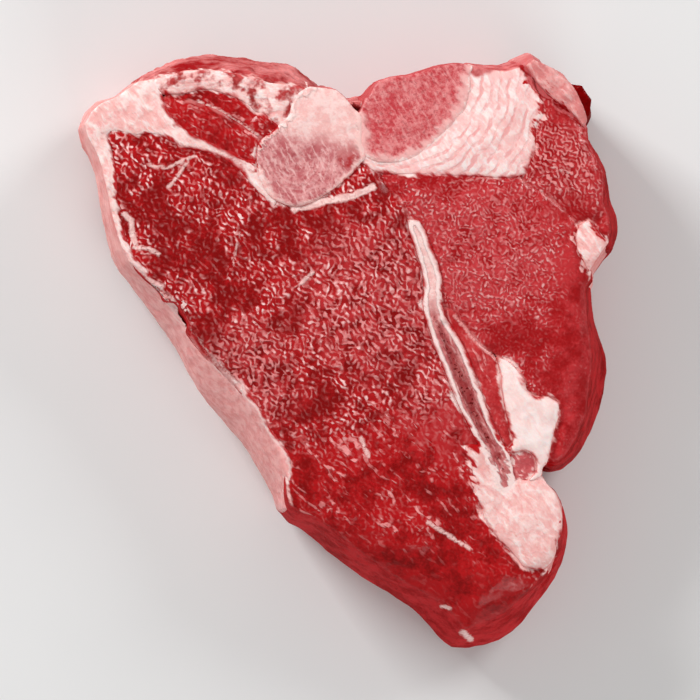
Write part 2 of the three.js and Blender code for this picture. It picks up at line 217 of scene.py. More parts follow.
# the piece kept in the CAD's box; no two end at one level underneath, where they overlap and would flicker
def keepInBox(piece, node):
    order = muscleNodes + fatNodes + sinewNodes + boneNodes
    level = order.index(node) * seam["level"] * mm
    points = np.clip(pointsOf(piece), np.add(cadLow, (0, 0, level)), cadHigh)
    piece.data.vertices.foreach_set("co", points.ravel())


# a soft, fine-meshed copy of a CAD node that stands for it
def makeTissue(values):
    node = values["node"]
    piece = bpy.data.objects.new(node + "_tissue", frame["nodes"][node].data.copy())
    bpy.context.scene.collection.objects.link(piece)
    piece.data.materials.clear()
    pickOnly(piece)
    bpy.ops.object.mode_set(mode="EDIT")
    bpy.ops.mesh.select_all(action="SELECT")
    bpy.ops.mesh.remove_doubles(threshold=merged * mm)
    bpy.ops.object.mode_set(mode="OBJECT")
    over = [name for name in values["over"] if name != node]
    closeSeams(piece, over, seam["over"])
    closeSeams(piece, [name for name in frame["nodes"] if name not in over + [node]], seam["under"])
    applyModifier(piece, "REMESH", {"mode": "VOXEL", "voxel_size": values["voxel"] * mm})
    dropCrumbs(piece)
    applyModifier(piece, "SMOOTH", evened)
    layLip(piece, node, over)
    for number, (size, height) in enumerate(swells + values["lumps"]):
        pattern = lumpPattern(node + str(number), size)
        applyModifier(piece, "DISPLACE", {"texture": pattern, "strength": height * mm, "mid_level": 0.5})
    keepInBox(piece, node)
    lowerLip(piece, over)
    bpy.ops.object.shade_smooth()
    for name, others in (("meatGap", muscleNodes), ("fatGap", fatNodes), ("boneGap", boneNodes),
                         ("sinewGap", sinewNodes)):
        addField(piece, name, gapTo(piece, [other for other in others if other != node]))
    addField(piece, "streakGap", gapToStreaks(piece, values.get("streaks", [])))
    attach(piece, "root")
    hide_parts(values["node"])
    print("shaped", piece.name, len(piece.data.polygons), "faces")
    return piece


class Wire:
    # a node's output that sums and products can be made with
    def __init__(self, finish, socket):
        self.finish = finish
        self.socket = socket

    def maths(self, operation, *terms):
        return self.finish.node("ShaderNodeMath", {"operation": operation}, dict(enumerate(terms)))

    def __add__(self, other):
        return self.maths("ADD", self, other)

    def __sub__(self, other):
        return self.maths("SUBTRACT", self, other)

    def __rsub__(self, other):
        return self.maths("SUBTRACT", other, self)

    def __mul__(self, other):
        return self.maths("MULTIPLY", self, other)

    __rmul__ = __mul__

    def __abs__(self):
        return self.maths("ABSOLUTE", self)

    def wave(self):
        return self.maths("SINE", self)

    def most(self, other):
        return self.maths("MAXIMUM", self, other)

    def least(self, other):
        return self.maths("MINIMUM", self, other)

    # 0 below low, 1 above high and smooth between them
    def rise(self, low, high):
        return self.finish.node("ShaderNodeMapRange", {"interpolation_type": "SMOOTHSTEP"},
                                {"Value": self, "From Min": low, "From Max": high})


# mm: a streak's edge wanders by some distance in clouds of a size, and fades from low to high
streakEdge = {"size": 0.9, "wander": 0.17, "low": -0.1, "high": 0.28}
# a sawn face ends where the upper edge wanders (mm), above the foot (mm), and where it turns upright
sawnEdge = {"size": 3, "wander": 0.8, "soft": 0.8, "foot": (0.3, 1.2), "upright": (0.3, 0.65)}
# how far clouds of a size (mm) bend the rings (mm) and shift them (radians), and where each ring rises
ringShape = {"bendSize": 4, "bend": 1, "shiftSize": 2.5, "shift": 6, "wave": (0, 0.9)}
aboveShape = {"size": 6, "push": 3}  # mm: how spots and lines seen from above are pushed about
spotCore = 0.45  # share of a spot's radius that is full
# the coat on the outer sides as a share of that on the sawn faces, and how far light goes in, in mm
surface = {"roughness": 0.5, "sideCoat": 0.2, "glowRadius": (1, 0.35, 0.25), "glowReach": 1.2}


class Finish:
    # a material and what its tissues are mixed from; all sizes are in mm
    def __init__(self, name):
        self.material = bpy.data.materials.new(name)
        self.material.use_nodes = True
        self.tree = self.material.node_tree
        self.tree.nodes.clear()
        self.place = self.vector("SCALE", self.node("ShaderNodeTexCoord", output="Object"), Scale=1 / mm)
        self.height = self.node("ShaderNodeSeparateXYZ", {}, {0: self.place}, 2)
        normal = self.node("ShaderNodeNewGeometry", output="Normal")
        self.upright = abs(self.node("ShaderNodeSeparateXYZ", {}, {0: normal}, 2))

    def node(self, kind, settings={}, sockets={}, output=0):
        made = self.tree.nodes.new(kind)
        for name, value in settings.items():
            setattr(made, name, value)
        for name, value in sockets.items():
            if isinstance(value, Wire):
                self.tree.links.new(value.socket, made.inputs[name])
            else:
                made.inputs[name].default_value = value
        return Wire(self, made.outputs[output]) if made.outputs else made

    def vector(self, operation, *terms, output=0, **named):
        sockets = {**dict(enumerate(terms)), **named}
        return self.node("ShaderNodeVectorMath", {"operation": operation}, sockets, output)

    def mix(self, share, first, second):
        return self.node("ShaderNodeMix", {"data_type": "RGBA"}, {0: share, 6: first, 7: second}, 2)

    def field(self, name):
        return self.node("ShaderNodeAttribute", {"attribute_name": name}, {}, "Fac")

    # cloudy pattern around 0.5 with patches of a size
    def clouds(self, place, size, detail=2, roughness=0.5, output=0):
        return self.node("ShaderNodeTexNoise", {}, {"Vector": place, "Scale": 1 / size, "Detail": detail,
                                                    "Roughness": roughness}, output)

    # clouds around 0 that mostly stay within a distance, because most clouds lie within 0.2 of 0.5
    def wander(self, place, size, distance):
        return (self.clouds(place, size) - 0.5) * (distance / 0.2)

    # short threads side by side, around 0.5, that lie at a turn and follow it more or less
    def threads(self, place, spacing, length, turn, order):
        return self.node("ShaderNodeTexGabor", {"gabor_type": "2D"}, {
            "Vector": place, "Scale": 1 / length, "Frequency": length / spacing, "Anisotropy": order,
            "Orientation": math.radians(turn)})

    # the place pushed about by up to a distance, so that what it carries is irregular
    def pushed(self, place, size, distance):
        push = self.vector("SUBTRACT", self.clouds(place, size, output="Color"), (0.5, 0.5, 0.5))
        return self.vector("ADD", place, self.vector("SCALE", push, Scale=2 * distance))

    # the place turned about the upright axis and squeezed along its new X, so that a pattern is drawn out
    def drawnOut(self, place, turn, times):
        return self.node("ShaderNodeMapping", {"vector_type": "TEXTURE"},
                         {"Vector": place, "Rotation": (0, 0, math.radians(turn)), "Scale": (times, 1, 1)})

    # 1 in the core of some round spots seen from above, and 0 from their edges on
    def near(self, place, spots):
        share = 0
        for x, y, radius in spots:
            gap = self.vector("DISTANCE", place, (x, y, 0), output="Value")
            share = (1 - gap.rise(radius * spotCore, radius)).most(share)
        return share

    # 0 before a line seen from above and 1 past it: a place on it, the way across it, and its width
    def beyond(self, place, line):
        (x, y), towards, width = line
        way = Vector((*towards, 0)).normalized()
        middle = way.dot(Vector((x, y, 0)))
        along = self.vector("DOT_PRODUCT", place, way, output="Value")
        return along.rise(middle - width / 2, middle + width / 2)

    # the place seen from above and pushed about, for spots and lines with soft wandering edges
    def fromAbove(self):
        pushed = self.pushed(self.place, aboveShape["size"], aboveShape["push"])
        return self.vector("MULTIPLY", pushed, (1, 1, 0))

    # how far fat and bone stray into meat: more in feathered spots, and less than nothing in thin ones
    def stray(self):
        above = self.fromAbove()
        more = self.near(above, boundary["feathered"])
        thin = self.near(above, boundary["thin"])
        place = self.drawnOut(self.place, boundary["turn"], boundary["stretch"])
        wander = self.wander(place, boundary["size"], boundary["wander"])
        return wander * (more * boundary["more"] - thin * boundary["less"] + 1) - thin * boundary["thinner"]

    # 1 where another tissue begins, whose gap is known, and 0 before it
    def within(self, gap):
        return 1 - (gap - seam["gap"] / 2).rise(-boundary["soft"], boundary["soft"])

    # 1 on the piece's streaks
    def streaks(self):
        gap = self.field("streakGap") + self.wander(self.place, streakEdge["size"], streakEdge["wander"])
        return 1 - gap.rise(streakEdge["low"], streakEdge["high"])

    # uneven rings around an upright axis
    def rings(self, about, spacing):
        bent = self.pushed(self.place, ringShape["bendSize"], ringShape["bend"])
        centre = self.vector("SUBTRACT", bent, (*about, 0))
        around = self.vector("LENGTH", self.vector("MULTIPLY", centre, (1, 1, 0)), output="Value")
        shift = self.clouds(self.place, ringShape["shiftSize"]) * ringShape["shift"]
        return (around * (2 * math.pi / spacing) + shift).wave().rise(*ringShape["wave"])

    # 1 on the two sawn faces and 0 on the rounded outer sides
    def sawnShare(self, sawnAbove):
        level = self.height + self.wander(self.place, sawnEdge["size"], sawnEdge["wander"])
        upper = level.rise(sawnAbove - sawnEdge["soft"], sawnAbove + sawnEdge["soft"])
        lower = 1 - self.height.rise(*sawnEdge["foot"])
        return upper.most(lower) * self.upright.rise(*sawnEdge["upright"])

    def dress(self, piece, colour, sawn, height, values):
        bump = self.node("ShaderNodeBump", {}, {"Height": height, "Distance": mm, "Strength": values["bump"]})
        coatShare = sawn * (1 - surface["sideCoat"]) + surface["sideCoat"]
        shader = self.node("ShaderNodeBsdfPrincipled", {}, {
            "Base Color": colour, "Roughness": surface["roughness"], "Normal": bump,
            "Specular IOR Level": 0, "Coat Weight": coatShare * values["coat"],
            "Coat Roughness": values["coatRoughness"], "Subsurface Weight": values["glow"],
            "Subsurface Radius": surface["glowRadius"], "Subsurface Scale": surface["glowReach"] * mm})
        self.node("ShaderNodeOutputMaterial", {}, {"Surface": shader})
        piece.data.materials.append(self.material)
        print("dressed", piece.name)


# a colour as red, green and blue of 0 to 255, as a screen shows it
def tint(red, green, blue):
    return tuple((part / 255) ** 2.2 for part in (red, green, blue)) + (1,)


# how raggedly tissues meet: clouds of a size, drawn out along a turn, move the line by a distance (mm), more
# in feathered spots and less in thin ones, where it also moves back; soft is half the width of its edge
boundary = {"size": 1.1, "turn": -40, "stretch": 2.2, "wander": 0.5, "more": 1.6, "less": 0.6, "soft": 0.35,
            "feathered": [(31, 38, 8), (20, -18, 8), (-14, 32, 6), (37, 16, 5)],
            "thin": [(-21, 31, 9), (11, 15, 8), (15, 0, 9), (20, -13, 6)], "thinner": 0.4}
meatTone = {"deep": tint(130, 2, 5), "red": tint(180, 24, 28), "mid": tint(186, 50, 53)}
fatTone = {"pink": tint(250, 186, 181), "pale": tint(255, 224, 219)}
boneTone = tint(254, 218, 213)
sinewTone = tint(204, 96, 98)

halves = (0.4, 0.6)  # levels of clouds between which what they carry rises, about half and half
fadeFrom = 0.1  # mm, where a rim or a film starts to fade
# the meat: sizes of its clouds (mm), levels between which what they carry rises, and what pushes its curls
# and strands about as sizes and distances (mm)
meatSizes = {"broad": 6, "patches": 2.2, "grain": 0.4, "breaks": 0.9, "strands": 0.75, "film": 3.5}
meatLevels = {"breaks": (0.36, 0.6), "amount": (0.43, 0.57), "curls": (0.47, 0.62), "strands": (0.59, 0.66),
              "paintedGlints": (0.58, 0.72), "red": (0.4, 0.62), "mid": (0.35, 0.6), "side": (0.38, 0.6)}
curlBends = [(2.6, 0.9), (0.8, 0.16)]
strandBend = (5, 1.3)
strandStretch = 8  # times as long as wide
filmEnd = 0.6  # mm
filmTone = tint(222, 132, 130)


# wet muscle cut across its fibres, with curls and strands of pale connective tissue painted partly as
# highlights on their ridges, and painted glints for wet highlights
def dressMeat(piece, values):
    finish = Finish(piece.name)
    place = finish.place
    sawn = finish.sawnShare(values["sawnAbove"])
    broad = finish.clouds(place, meatSizes["broad"], detail=1)
    patches = finish.clouds(place, meatSizes["patches"], roughness=0.6)
    grain = finish.clouds(place, meatSizes["grain"], detail=1, roughness=0.6)
    breaks = finish.clouds(place, meatSizes["breaks"], detail=1).rise(*meatLevels["breaks"])
    above = finish.fromAbove()
    dense = finish.near(above, values["dense"])
    coarse = sawn * (1 - finish.beyond(above, values["smoothBeyond"]) * 0.9)
    stranded = finish.beyond(above, values["strandsBeyond"])
    amount = (broad * 0.6 + patches * 0.4).rise(*meatLevels["amount"])

    bent = finish.pushed(finish.pushed(place, *curlBends[0]), *curlBends[1])
    threads = finish.threads(bent, values["curlSpacing"], values["curlLength"], values["curlTurn"],
                             values["curlOrder"])
    curls = (threads + dense * 0.03 + (grain - 0.5) * 0.14).rise(*meatLevels["curls"])
    curls = curls * (breaks * 0.6 + 0.4) * (amount * 0.75 + 0.1).most(dense * 0.8) * (1 - stranded * 0.75)
    strands = finish.drawnOut(finish.pushed(place, *strandBend), values["strandTurn"], strandStretch)
    strands = finish.clouds(strands, meatSizes["strands"], detail=1, roughness=0.3)
    strands = strands.rise(*meatLevels["strands"]) * breaks * stranded * (amount * 0.5 + 0.5)
    strokesAndHighlights = curls.most(strands) * coarse
    # painted glints: near-white specks on the threads' peaks, standing for the wet surface's highlights
    paintedGlints = threads.rise(*meatLevels["paintedGlints"]) * breaks * (amount * 0.9 + 0.1) * coarse
    paintedGlints = paintedGlints * (1 - stranded * 0.85) * (1 - dense * 0.25)

    tone = patches * 0.45 + broad * 0.35 + grain * 0.2
    red = finish.mix((tone + stranded * 0.05).rise(*meatLevels["red"]), values["deep"], values["red"])
    red = finish.mix(dense * patches.rise(*meatLevels["mid"]) * 0.8, red, values["mid"])
    # the strokes are real pale tissue and painted highlights in one: they follow the bump's ridges
    red = finish.mix(strokesAndHighlights, red, values["pale"])
    red = finish.mix(paintedGlints * values["glintShare"], red, values["glintTint"])
    side = finish.mix(tone.rise(*meatLevels["side"]), values["sideDeep"], values["sideRed"])
    colour = finish.mix(sawn, side, red)

    stray = finish.stray()
    comesAndGoes = finish.clouds(place, meatSizes["film"]).rise(*halves)
    film = 1 - (finish.field("meatGap") + stray * 0.5).rise(fadeFrom, filmEnd)
    colour = finish.mix(film * values["film"] * comesAndGoes, colour, filmTone)
    streaks = finish.streaks()
    colour = finish.mix(streaks * (breaks * 0.3 + 0.7), colour, values["streak"])
    fatty = finish.within(finish.field("fatGap") - stray)
    fat = finish.mix(patches.rise(*halves), fatTone["pink"], fatTone["pale"])
    colour = finish.mix(fatty * sawn, colour, fat)
    bony = finish.within(finish.field("boneGap") - stray)
    colour = finish.mix(bony * sawn, colour, boneTone)
    colour = finish.mix(finish.within(finish.field("sinewGap") - stray), colour, sinewTone)
    swell = patches * (0.5 - stranded * 0.2)
    finish.dress(piece, colour, sawn, strokesAndHighlights * 0.13 + swell + streaks * 0.1, values)


# the fat, in the same way; torn is for scraps and blotches of meat on it
fatSizes = {"broad": 6, "lumps": 1.6, "blotches": 2.8}
fatLevels = {"tone": (0.42, 0.6), "bright": (0.56, 0.66), "creaseShade": (0.34, 0.44), "skin": (0.36, 0.64),
             "torn": (0.35, 0.65), "blotchSoft": 0.16}
fibreBend = (3, 0.8)
scrapBend = (1, 0.5)
blendFrom, blendTo = -0.1, 0.6  # mm, where one fat passes into the next


# soft fat with fine fibres, red where scraps of meat lie on it, and pinker on its outer skin; its fibres'
# ridges carry painted highlights and their hollows painted shade
def dressFat(piece, values):
    finish = Finish(piece.name)
    place = finish.place
    sawn = finish.sawnShare(values["sawnAbove"])
    broad = finish.clouds(place, fatSizes["broad"], detail=1)
    lumps = finish.clouds(place, fatSizes["lumps"], detail=3, roughness=0.65)
    fibres = finish.drawnOut(finish.pushed(place, *fibreBend), values["fibreTurn"], values["fibreStretch"])
    fibres = finish.clouds(fibres, values["fibreSize"], roughness=0.6)
    rings = finish.rings(*values["rings"]) * values["ringShare"]

    tone = lumps * 0.45 + fibres * 0.35 + broad * 0.2
    colour = finish.mix(tone.rise(*fatLevels["tone"]), values["pink"], values["pale"])
    # painted highlights: the fibres' ridges lightened toward the bright tint
    shine = fibres.rise(*fatLevels["bright"]) * values["shine"]
    colour = finish.mix(shine * sawn, colour, values["bright"])
    # painted shade: the fibres' hollows darkened toward the crease tint; the rings drawn in it on the chine
    # fat are real lines
    creaseShade = (1 - fibres.rise(*fatLevels["creaseShade"])) * values["creaseShade"]
    colour = finish.mix(creaseShade.most(rings * lumps.rise(*halves)), colour, values["ringsAndCreaseShade"])
    skinTone = broad * 0.5 + fibres * 0.3 + lumps * 0.2
    skin = finish.mix(skinTone.rise(*fatLevels["skin"]), values["skin"], values["skinPale"])
    colour = finish.mix(1 - sawn, colour, skin)
    level = values["blotchesAbove"]
    blotches = finish.clouds(place, fatSizes["blotches"], detail=3, roughness=0.6)
    blotches = blotches.rise(level, level + fatLevels["blotchSoft"])
    torn = lumps.rise(*fatLevels["torn"])
    blotch = finish.mix(torn, values["blotch"], values["blotchPale"])
    colour = finish.mix(blotches * 0.95, colour, blotch)
    scraps = finish.beyond(finish.pushed(finish.fromAbove(), *scrapBend), values["scrapsBeyond"])
    scrapTone = finish.mix(torn, values["scraps"], values["scrapsPale"])
    colour = finish.mix(scraps * 0.9, colour, scrapTone)
    # on fat, the streaks are dark red lines painted where a groove's shade falls
    colour = finish.mix(finish.streaks(), colour, values["streak"])

    stray = finish.stray()
    rim = 1 - (finish.field("meatGap") + stray).rise(fadeFrom, values["rim"])
    colour = finish.mix(rim * 0.8, colour, values["rimTint"])
    fatty = 1 - (finish.field("fatGap") - stray).rise(blendFrom, blendTo)
    fat = finish.mix(lumps.rise(*halves), fatTone["pink"], fatTone["pale"])
    colour = finish.mix(fatty * values["blend"], colour, fat)
    colour = finish.mix(finish.within(finish.field("boneGap") - stray) * sawn, colour, boneTone)
    meat = finish.mix(lumps.rise(*halves), meatTone["red"], meatTone["mid"])
    colour = finish.mix(finish.within(finish.field("meatGap") + stray), colour, meat)
    colour = finish.mix(finish.within(finish.field("sinewGap") + stray), colour, sinewTone)
    relief = lumps * 0.3 + fibres * 0.2
    finish.dress(piece, colour, sawn, relief * values["relief"] - rings * 0.07, values)


# the bone, in the same way
boneSizes = {"broad": 4, "pores": 0.5, "scratches": 0.45}
boneLevels = {"core": (0.38, 0.62), "bright": (0.54, 0.68), "bloody": (0.38, 0.6), "pores": (0.54, 0.66),
              "cream": (0.42, 0.6), "scraps": (0.34, 0.66)}
scratchBend = (2, 0.4)
scratchStretch = 4


# sawn bone: red or grey marrow inside a pale rim, with the saw's faint arcs and dark pores
def dressBone(piece, values):
    finish = Finish(piece.name)
    place = finish.place
    sawn = finish.sawnShare(values["sawnAbove"])
    broad = finish.clouds(place, boneSizes["broad"], detail=1)
    lumps = finish.clouds(place, values["grain"], detail=3, roughness=0.7)
    pores = finish.clouds(place, boneSizes["pores"], roughness=0.6)
    scratches = finish.drawnOut(finish.pushed(place, *scratchBend), values["scratchTurn"], scratchStretch)
    scratches = finish.clouds(scratches, boneSizes["scratches"], detail=1)
    rings = finish.rings(*values["rings"]) * broad.rise(*halves) * values["ringShare"]
    above = finish.fromAbove()
    stray = finish.stray()
    gap = finish.field("meatGap").least(finish.field("fatGap")).least(finish.field("boneGap"))
    inner = (gap + stray * 0.5).rise(values["poresFrom"], values["poresFrom"] + values["poresSoft"])

    tone = lumps * 0.6 + broad * 0.25 + scratches * 0.15
    colour = finish.mix(tone.rise(*boneLevels["core"]), values["core"], values["corePale"])
    scratched = scratches.rise(*boneLevels["bright"]) * values["scratches"]
    colour = finish.mix(scratched, colour, values["bright"])
    colour = finish.mix(rings, colour, values["bright"])
    colour = finish.mix(inner * values["marrowShare"], colour, values["marrow"])
    bloody = lumps.rise(*boneLevels["bloody"]) * finish.near(above, values["bloody"])
    colour = finish.mix(bloody, colour, values["scraps"])
    porous = pores.rise(*boneLevels["pores"]) * values["pores"]
    colour = finish.mix(porous * inner, colour, values["pore"])
    creamTone = finish.mix(tone.rise(*boneLevels["cream"]), values["creamPink"], values["cream"])
    colour = finish.mix(finish.beyond(above, values["creamBeyond"]), colour, creamTone)
    rim = 1 - (gap + stray * values["rimRagged"]).rise(values["rim"], values["rim"] + values["rimSoft"])
    colour = finish.mix(rim * 0.9, colour, values["rimTint"])
    scraps = finish.beyond(finish.pushed(above, *scrapBend), values["scrapsBeyond"]).most(1 - sawn)
    scrapShare = (lumps * 0.4 + broad * 0.6).rise(*boneLevels["scraps"])
    scrapTone = finish.mix(scrapShare, values["scraps"], values["scrapsPale"])
    colour = finish.mix(scraps * 0.9, colour, scrapTone)
    fatty = 1 - (finish.field("fatGap") + stray).rise(blendFrom, values["blend"])
    fat = finish.mix(lumps.rise(*halves), fatTone["pink"], fatTone["pale"])
    colour = finish.mix(fatty * sawn, colour, fat)
    meat = finish.mix(lumps.rise(*halves), meatTone["red"], meatTone["mid"])
    colour = finish.mix(finish.within(finish.field("meatGap") + stray), colour, meat)
    colour = finish.mix(finish.within(finish.field("sinewGap") + stray), colour, sinewTone)
    finish.dress(piece, colour, sawn, lumps * 0.12 + pores * 0.1 + rim * 0.2, values)


wet = {"bump": 1, "coat": 0.45, "coatRoughness": 0.18, "glow": 0.05}
moist = {"bump": 0.9, "coat": 0.35, "coatRoughness": 0.2, "glow": 0.15}
damp = {"bump": 0.9, "coat": 0.3, "coatRoughness": 0.22, "glow": 0.06}
# lines that lie past the whole part, and before it
nowhere = [(0, 100), (0, 1), 1]
everywhere = [(0, -100), (0, 1), 1]

redMeat = {**wet, **meatTone, "slot": "muscle", "voxel": 0.42, "lumps": [],
           "over": fatNodes + boneNodes + sinewNodes,
           # pale: the strokes' colour, pale connective tissue partly painted as highlights; the near-white
           # after it: the painted glints' colour
           "pale": tint(240, 150, 148), "glintTint": tint(255, 226, 222),
           "streak": tint(252, 210, 204), "sideDeep": tint(138, 4, 8), "sideRed": tint(186, 34, 38),
           "curlSpacing": 0.98, "curlLength": 1.0, "curlTurn": 35, "curlOrder": 0.4, "dense": [],
           "smoothBeyond": nowhere, "strandsBeyond": nowhere, "strandTurn": -42, "glintShare": 0.8, "film": 0.6,
           "sawnAbove": 21.6}
paleFat = {**moist, **fatTone, "slot": "fat", "voxel": 0.4, "lumps": [],
           "over": boneNodes + sinewNodes,
           # bright and shine: painted highlights on the fibres' ridges; the crease tint and share after them:
           # painted shade in the fibres' hollows
           "bright": tint(255, 242, 239), "shine": 0.4, "ringsAndCreaseShade": tint(234, 152, 149), "creaseShade": 0.35,
           "skin": tint(226, 136, 133), "skinPale": tint(244, 178, 173), "fibreTurn": -50, "fibreStretch": 3,
           "fibreSize": 0.8, "relief": 1, "rings": [(0, 0), 1], "ringShare": 0,
           "blotchesAbove": 0.8, "blotch": tint(150, 10, 14), "blotchPale": tint(196, 62, 64),
           "scrapsBeyond": nowhere, "scraps": tint(178, 52, 56), "scrapsPale": tint(216, 112, 112),
           # the fat's streak colour is dark red painted shade for grooves
           "streak": tint(150, 12, 18), "rim": 0.8, "rimTint": tint(240, 168, 164), "blend": 0,
           "sawnAbove": 22.5}
sawnBone = {**damp, "slot": "bone", "voxel": 0.4, "over": [], "lumps": [],
            "grain": 1.2, "rimSoft": 0.4, "blend": 0.4, "marrow": tint(150, 40, 44), "marrowShare": 0,
            "bloody": [],
            "core": tint(188, 96, 100), "corePale": tint(226, 156, 155), "bright": tint(246, 200, 196),
            "pore": tint(150, 50, 54), "pores": 0.4, "poresFrom": 0, "poresSoft": 0.7,
            "creamPink": tint(240, 180, 176), "cream": tint(252, 214, 208), "creamBeyond": nowhere,
            "rings": [(-9, 29.5), 0.9], "ringShare": 0, "scratchTurn": -60, "scratches": 0.5, "rim": 0.4,
            "rimRagged": 1, "rimTint": tint(248, 200, 194), "scrapsBeyond": nowhere,
            "scraps": tint(172, 42, 46), "scrapsPale": tint(206, 92, 94), "sawnAbove": 22}

loinEye = {**redMeat, "node": "loin_eye", "sawnAbove": 19.6, "sideDeep": tint(158, 14, 18),
           "sideRed": tint(200, 44, 48), "dense": [(3, 8, 17), (14, -10, 10), (-17, -4, 11)],
           "strandsBeyond": [(0, -13), (0.25, -1), 6], "smoothBeyond": [(8, -31), (-0.27, -0.96), 5],
           "streaks": [
               {"line": [(-32.8, 29.0), (-29.6, 28.4), (-27.0, 29.8), (-25.2, 30.4)], "half": 0.1},
               {"line": [(-26.4, 29.4), (-28.4, 26.6), (-29.5, 25.3)], "half": 0.1},
               {"line": [(-36.4, 21.2), (-35.3, 20.2), (-35.0, 17.7), (-34.6, 16.4)], "half": 0.3},
               {"line": [(-34.8, 16.0), (-32.6, 15.8), (-30.9, 14.8)], "half": 0.2},
               {"line": [(-18.1, 18.2), (-18.8, 15.6), (-19.3, 13.0)], "half": 0},
               {"line": [(-8.8, 10.0), (-6.6, 12.0)], "half": 0.15},
               {"line": [(-16.0, 0.2), (-13.4, 2.6), (-11.0, 4.2)], "half": -0.12},
               {"line": [(1.0, -14.2), (1.6, -15.6), (2.2, -17.0)], "half": 0.2},
               {"line": [(11.6, -27.4), (14.4, -29.2), (18.2, -31.6)], "half": 0.18},
               {"line": [(-9.5, 22.1), (-5.0, 23.2), (0.0, 24.2), (3.0, 25.6)], "half": 0.45},
               # the two last streaks are pale spots on the lower lobe, painted highlights standing for its
               # satin sheen
               {"line": [(14.2, -40.8), (15.4, -41.2)], "half": 0.15},
               {"line": [(17.8, -45.0), (19.6, -46.4)], "half": 0.35},
           ]}
dressMeat(makeTissue(loinEye), loinEye)

# the thin end of the kidney fat between the strip and the tenderloin
kidneyTail = [(16.0, 5.2), (18.6, 2.0), (20.8, -0.3), (23.0, -1.6)]
tenderloin = {**redMeat, "node": "tenderloin", "deep": tint(160, 20, 24), "red": tint(192, 50, 54),
              "mid": tint(196, 62, 66), "pale": tint(220, 122, 122), "curlSpacing": 0.8, "curlLength": 0.8,
              "curlOrder": 0.2, "dense": [(20, 15, 16)], "smoothBeyond": [(32, 6), (0.98, -0.18), 4],
              "glintShare": 0.4, "streak": tint(238, 164, 160),
              "streaks": [{"line": [(15.0, 26.3), (20.0, 27.0), (26.0, 27.5)], "half": 0},
                          {"line": [(12.6, 24.0), (14.0, 20.6), (14.8, 16.8)], "half": -0.2},
                          {"line": kidneyTail, "half": 0.15}]}
dressMeat(makeTissue(tenderloin), tenderloin)

sideMuscle = {**redMeat, "node": "side_muscle", "deep": tint(156, 20, 24), "red": tint(194, 54, 58),
              "curlSpacing": 0.8, "curlLength": 0.85,
              "dense": [(32, 30, 9)], "smoothBeyond": [(38.5, 30), (0.95, 0.1), 4], "glintShare": 0.5,
              "streaks": [{"line": [(31.0, 29.0), (35.0, 27.5)], "half": 0}]}
dressMeat(makeTissue(sideMuscle), sideMuscle)

loinStrip = {**redMeat, "node": "loin_strip", "strandsBeyond": everywhere, "strandTurn": -62,
             "red": tint(196, 60, 62), "deep": tint(168, 30, 34), "streak": tint(238, 164, 160),
             "streaks": [{"line": kidneyTail, "half": 0.15},
                         {"line": [(25.1, -15.6), (25.6, -16)], "half": 0.5}]}
dressMeat(makeTissue(loinStrip), loinStrip)

backMuscle = {**redMeat, "node": "back_muscle", "strandsBeyond": everywhere, "strandTurn": -35}
dressMeat(makeTissue(backMuscle), backMuscle)

smallBackMuscle = {**redMeat, "node": "small_back_muscle", "strandsBeyond": everywhere, "strandTurn": -28,
                   "film": 1, "streaks": [
                       {"line": [(-24.6, 39.0), (-21.6, 37.7), (-18.6, 36.0), (-15.3, 33.7)], "half": 0.12}]}
dressMeat(makeTissue(smallBackMuscle), smallBackMuscle)

flankBud = {**redMeat, "node": "flank_bud", "voxel": 0.25, "lumps": [(30, 0.9)],
            "deep": tint(190, 80, 84), "red": tint(206, 100, 102)}
dressMeat(makeTissue(flankBud), flankBud)

edgeScrap = {**redMeat, "node": "edge_scrap", "voxel": 0.25, "sideDeep": tint(104, 0, 2),
             "sideRed": tint(132, 4, 8), "deep": tint(104, 0, 2), "red": tint(132, 4, 8)}
dressMeat(makeTissue(edgeScrap), edgeScrap)

fatCap = {**paleFat, "node": "fat_cap", "voxel": 0.32, "rim": 1, "rimTint": tint(255, 226, 221),
          "scrapsBeyond": [(-32, 14), (0.3, -1), 8], "scraps": tint(232, 150, 147),
          "scrapsPale": tint(246, 180, 176)}
dressFat(makeTissue(fatCap), fatCap)

backFat = {**paleFat, "node": "back_fat", "voxel": 0.32, "blotchesAbove": 0.45, "fibreTurn": 0}
dressFat(makeTissue(backFat), backFat)

chineFat = {**paleFat, "node": "chine_fat", "slot": "white_fat", "pale": tint(255, 230, 226),
            "pink": tint(251, 198, 194), "ringsAndCreaseShade": tint(234, 138, 136), "creaseShade": 0.15, "relief": 0.4,
            "rings": [(6, 43), 1.6], "ringShare": 0.65,
            "scrapsBeyond": [(21.5, 43.6), (-0.04, 1), 0.8],
            # a dark red line painted along the groove between the flap and the chine fat: painted shade of
            # that groove
            "streaks": [{"line": [(27.0, 44.6), (28.6, 42.6), (30.6, 41.0)], "half": 0.6}]}
dressFat(makeTissue(chineFat), chineFat)

kidneyFat = {**paleFat, "node": "kidney_fat", "slot": "white_fat", "voxel": 0.32, "pale": tint(255, 232, 228),
             "pink": tint(253, 218, 213), "lumps": [(5, 0.6)], "relief": 0.5,
             "creaseShade": 0.1, "shine": 0.2}
dressFat(makeTissue(kidneyFat), kidneyFat)

flankFat = {**paleFat, "node": "flank_fat", "blend": 1, "pink": tint(244, 182, 177),
            "pale": tint(253, 214, 209), "shine": 0.35, "creaseShade": 0.3}
dressFat(makeTissue(flankFat), flankFat)

sideFat = {**paleFat, "node": "side_fat", "voxel": 0.3}
dressFat(makeTissue(sideFat), sideFat)

